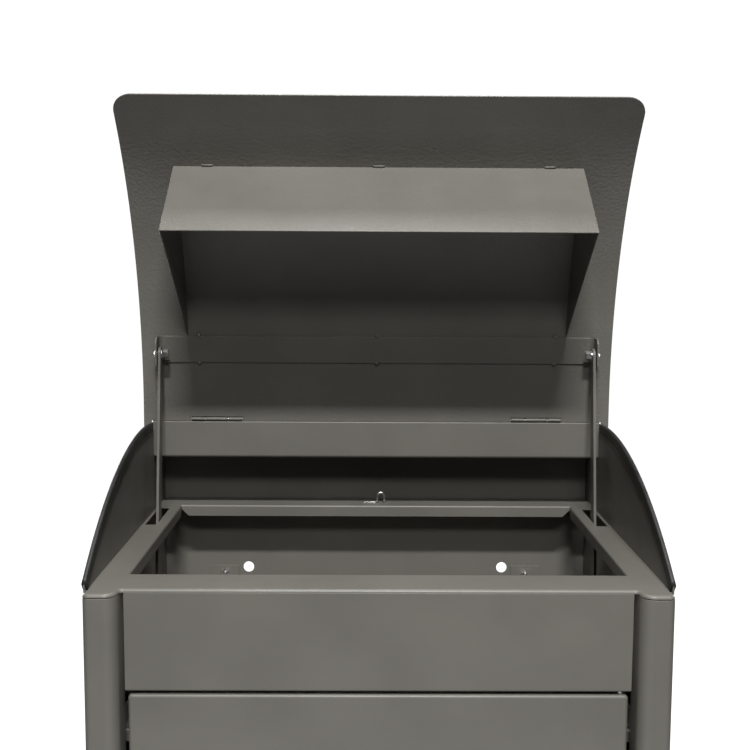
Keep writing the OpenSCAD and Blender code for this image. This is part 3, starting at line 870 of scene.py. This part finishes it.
def make_edge_trim(side, label, node):
    """Rubber channel pushed over the curved edge: a rounded U swept along the arc."""
    steps = 60
    middle = HALF - SHEET / 2
    front = math.asin((TRIM_FRONT - ARC_Y) / TRIM_RADIUS)
    rear = math.asin((TRIM_REAR - TRIM_SHORT - ARC_Y) / TRIM_RADIUS)
    rings = []
    for i in range(steps + 1):
        angle = front + (rear - front) * i / steps
        ring = []
        for across, height in trim_profile():
            radius = TRIM_RADIUS + height
            z = max(ARC_Z + radius * math.cos(angle), TOP)
            ring.append((side * (middle + across), ARC_Y + radius * math.sin(angle), z))
        rings.append(ring)
    piece = tube(f"edge_channel_{label}", rings)
    return settle(piece, "cabinet", "rubber_trim", trim_rubber, node)


def make_wire_eye():
    """Small bright wire loop on the frame behind the opening, with a flattened foot."""
    sides = 12
    flattened = 0.45
    centre = (low("wire_eye") + high("wire_eye")) / 2
    left = centre.x - EYE_RADIUS
    right = centre.x + EYE_RADIUS
    foot = [(left - EYE_FOOT, TOP + 0.6), (left - 2, TOP + 0.6)]
    path = foot + [(left - 0.6, TOP + 1.2), (left, TOP + 4)]
    path += arc(centre.x, TOP + EYE_LEG, EYE_RADIUS, 180, 0, 18)
    path += [(right, TOP + 4), (right, TOP)]
    path = [Vector((x, centre.y, z)) for x, z in path]
    across = Vector((0, 1, 0))
    rings = []
    for i, point in enumerate(path):
        before = path[max(i - 1, 0)]
        after = path[min(i + 1, len(path) - 1)]
        side = (after - before).normalized().cross(across)
        thick = WIRE * flattened if i < len(foot) else WIRE
        rings.append([tuple(point + side * u + across * v) for u, v in circle(0, 0, thick, sides)])
    piece = tube("wire_loop", rings)
    return settle(piece, "cabinet", "zinc", zinc, "wire_eye")


# ---- Door ----

def rounded_rectangle(x0, x1, z0, z1, radius):
    """A rectangle with round corners, clockwise from its upper right one."""
    steps = 5
    path = arc(x1 - radius, z1 - radius, radius, 90, 0, steps)
    path += arc(x1 - radius, z0 + radius, radius, 0, -90, steps)
    path += arc(x0 + radius, z0 + radius, radius, -90, -180, steps)
    path += arc(x0 + radius, z1 - radius, radius, 180, 90, steps)
    return path


def make_door():
    """The door: a pan with bent edges, rounded corners and the lock's hole."""
    least = low("door_panel")
    most = high("door_panel")
    lock = (low("lock_plug") + high("lock_plug")) / 2
    lock_radius = 9.5
    bend = 2.6
    corner = 3.2
    loops = []
    for back, along in quarter(bend, 6):
        inset = bend - along
        path = rounded_rectangle(least.x + inset, most.x - inset, least.z + inset, most.z - inset,
                                 corner - inset)
        loops.append([(x, FACE + back, z) for x, z in path])
    loops.append([(x, most.y, z) for x, _, z in loops[-1]])
    face_loop = [(x, z) for x, _, z in loops[0]]
    flat, faces = filled([face_loop, circle(lock.x, lock.z, lock_radius)])
    points = [(x, FACE, z) for x, z, _ in flat]
    edges = [loop + [loop[0]] for loop in loops]
    points, faces = joined(points, faces, *grid(edges))
    piece = sheet_metal("door_pan", points, faces, (0, -1, 0), rim=0.3)
    return settle(piece, "door", "door_paint", door_paint, "door_panel")


# ---- Link arms and tray ----

def make_arm(label, node, body):
    """A link arm: a leaning flat bar with a pivot hole above and a slot for the tray pin below."""
    channel_top = -ARM_REACH + ARM_SLOT_PLAY
    channel_end = -ARM_REACH - ARM_SLIDE - ARM_SLOT_PLAY
    outline = arc(0, 0, ARM_RADIUS, 0, 180, 14) + arc(0, -ARM_END, ARM_RADIUS, 180, 360, 14)
    hole = circle(0, 0, ARM_HOLE, 24)
    channel = arc(0, channel_top, ARM_SLOT, 0, 180, 8) + arc(0, channel_end, ARM_SLOT, 180, 360, 8)
    outer_x = high(node).x
    thick = outer_x - low(node).x

    def place(u, v):
        y = PIVOT_Y + u * math.cos(ARM_LEAN) + v * math.sin(ARM_LEAN)
        z = PIVOT_Z - u * math.sin(ARM_LEAN) + v * math.cos(ARM_LEAN)
        return (outer_x, y, z)

    piece = plate(f"link_bar_{label}", [outline, hole, channel], place, (1, 0, 0), thick, rim=0.5)
    return settle(piece, body, "link_paint", link_paint, node)


def make_tray():
    """The tray: a floor with two bent sides that taper at the rear, and a lip down in front."""
    half = high("tray_panel").x
    front = low("tray_panel").y
    rear = high("tray_panel").y
    under = low("tray_panel").z + TRAY_LIP
    bend = TRAY_BEND
    top = under + SHEET + TRAY_SIDE
    section = [(-half, top)]
    section += arc(-half + bend, under + bend, bend, 180, 270, 5)
    # The middle point keeps floor and lip from sharing an edge, so each is thickened its own way
    section += [(0, under)]
    section += arc(half - bend, under + bend, bend, 270, 360, 5)
    section += [(half, top)]
    rows = [[(x, y, z) for x, z in section] for y in (front + bend, rear - TRAY_TAPER)]
    rows.append([(x, rear, min(z, under + TRAY_END)) for x, z in section])
    points, faces = grid(rows)
    lip = [(front + bend, under)]
    lip += arc(front + bend, under - bend, bend, 90, 180, 5)[1:]
    lip += [(front, under - TRAY_LIP)]
    lip_rows = [[(-half + bend, y, z), (half - bend, y, z)] for y, z in lip]
    points, faces = joined(points, faces, *grid(lip_rows))
    piece = sheet_metal("tray_fold", points, faces, (0, 0, -1), rim=0.3)
    return settle(piece, "tray", "link_paint", link_paint, "tray_panel")


# ---- CAD nodes that stay, with rounded edges ----

def finish_cad_node(name, material, width):
    """Gives a CAD node its material and edges rounded by a width in millimetres."""
    node = frame["nodes"][name]
    node.data.materials.clear()
    node.data.materials.append(material)
    weld = node.modifiers.new("join vertices", "WELD")
    weld.merge_threshold = 0.00001
    merge = node.modifiers.new("merge flat faces", "DECIMATE")
    merge.decimate_type = "DISSOLVE"
    merge.angle_limit = math.radians(0.5)
    add_bevel(node, width, angle=40)
    add_flat_shading(node)


# ---- Stage, lights and camera ----

def make_stage():
    """Plain floor disc: pale grey to the lights, white to the camera like the backdrop."""
    reach = 3000
    lower = 0.4
    rim = [(x, y, -lower) for x, y in circle(0, 0, reach, 96)]
    floor = new_object("floor", clean_mesh("floor", rim, [tuple(range(len(rim)))], (0, 0, 1)))
    material, nodes, links, shader, coords = node_material("pale floor")
    cloud = noise(nodes, links, coords, scale=1.5)
    links.new(tint(nodes, links, cloud, (0.15, 0.15, 0.15), (0.18, 0.18, 0.18)),
              shader.inputs["Base Color"])
    shader.inputs["Roughness"].default_value = 0.8
    shader.inputs["Emission Color"].default_value = (1, 1, 1, 1)
    path = nodes.new("ShaderNodeLightPath")
    glow = nodes.new("ShaderNodeMath")
    glow.operation = "MULTIPLY"
    glow.inputs[1].default_value = FLOOR_GLOW
    links.new(path.outputs["Is Camera Ray"], glow.inputs[0])
    links.new(glow.outputs["Value"], shader.inputs["Emission Strength"])
    floor.data.materials.append(material)


def make_world():
    """A faint ambient light, and a white backdrop that only the camera sees."""
    world = bpy.data.worlds.new("studio")
    world.use_nodes = True
    bpy.context.scene.world = world
    nodes = world.node_tree.nodes
    links = world.node_tree.links
    background = nodes["Background"]
    background.inputs["Strength"].default_value = AMBIENT
    white = nodes.new("ShaderNodeBackground")
    white.inputs["Color"].default_value = (1, 1, 1, 1)
    white.inputs["Strength"].default_value = BACKDROP
    path = nodes.new("ShaderNodeLightPath")
    mix = nodes.new("ShaderNodeMixShader")
    links.new(path.outputs["Is Camera Ray"], mix.inputs["Fac"])
    links.new(background.outputs["Background"], mix.inputs[1])
    links.new(white.outputs["Background"], mix.inputs[2])
    links.new(mix.outputs["Shader"], nodes["World Output"].inputs["Surface"])


def add_softbox(name, place, target, size, power):
    """A rectangular lamp, sizes and places in metres, that shines at a target."""
    light = bpy.data.lights.new(name, "AREA")
    light.shape = "RECTANGLE"
    light.size, light.size_y = size
    light.energy = power
    lamp = bpy.data.objects.new(name, light)
    bpy.context.scene.collection.objects.link(lamp)
    lamp.location = place
    direction = Vector(target) - Vector(place)
    lamp.rotation_euler = direction.to_track_quat("-Z", "Y").to_euler()
    lamp.visible_camera = False


def make_camera():
    """The camera where the photograph's edges put it, in metres and degrees."""
    data = bpy.data.cameras.new("camera")
    data.sensor_width = 36.0
    data.lens = 51.9672
    data.clip_end = 100.0
    camera = bpy.data.objects.new("camera", data)
    bpy.context.scene.collection.objects.link(camera)
    place = Matrix.Translation((-0.01097, -0.94464, 0.74456))
    heading = Matrix.Rotation(math.radians(-0.496), 4, "Z")
    tilt = Matrix.Rotation(math.radians(90 - 5.95), 4, "X")
    roll = Matrix.Rotation(math.radians(0.316), 4, "Z")
    camera.matrix_world = place @ heading @ tilt @ roll
    bpy.context.scene.camera = camera


make_lid_shell()
make_hood()
make_hood_welds()
make_crossbar()
make_crossbar_welds()
make_hinge(-1, "left")
make_hinge(1, "right")
make_side_panel(-1, "left", "side_panel_left")
make_side_panel(1, "right", "side_panel_right")
make_top_sheet()
make_fascia()
make_rear_cover()
make_back_panel()
make_edge_trim(-1, "left", "edge_trim_left")
make_edge_trim(1, "right", "edge_trim_right")
make_wire_eye()
make_door()
make_arm("left", "arm_left", "left_link")
make_arm("right", "arm_right", "right_link")
make_tray()

for name in ("base_panel", "sill_panel"):
    finish_cad_node(name, body_paint, 0.3)
for name in ("tray_brackets", "tray_tube", "tray_lugs"):
    finish_cad_node(name, link_paint, 0.3)
finish_cad_node("door_stiffener", door_paint, 0.3)
for name in ("bracket_studs", "bracket_nuts", "tray_shaft", "pivot_bolts", "pivot_nuts",
             "pivot_washers", "lid_hinge_pins", "tray_pins", "pin_clips", "door_pivot_pins",
             "lock_cam", "cam_screw"):
    finish_cad_node(name, zinc, 0.2)
for name in ("lock_housing", "lock_nut", "lock_plug"):
    finish_cad_node(name, lock_metal, 0.25)

make_stage()
make_world()
add_softbox("key", (0.05, -1.5, 2.545), (0, -0.036, 0.77), (0.6, 0.12), 79)
add_softbox("front", (0.1, -1.83, 1.74), (0, 0.12, 0.52), (0.5, 0.25), 12)
add_softbox("overhead", (0.0, 0.3, 2.3), (0, -0.1, 0.5), (0.6, 0.6), 18)
add_softbox("bounce", (0.0, -0.5, 0.03), (0, 0, 0.85), (0.7, 0.3), 1.1)
for side in (-1, 1):
    add_softbox("rear_side", (side * 1.7, 1.6, 0.9), (side * 0.1, 0.1, 0.4), (1.0, 0.8), 34)
make_camera()

bpy.context.scene.view_settings.view_transform = "Standard"
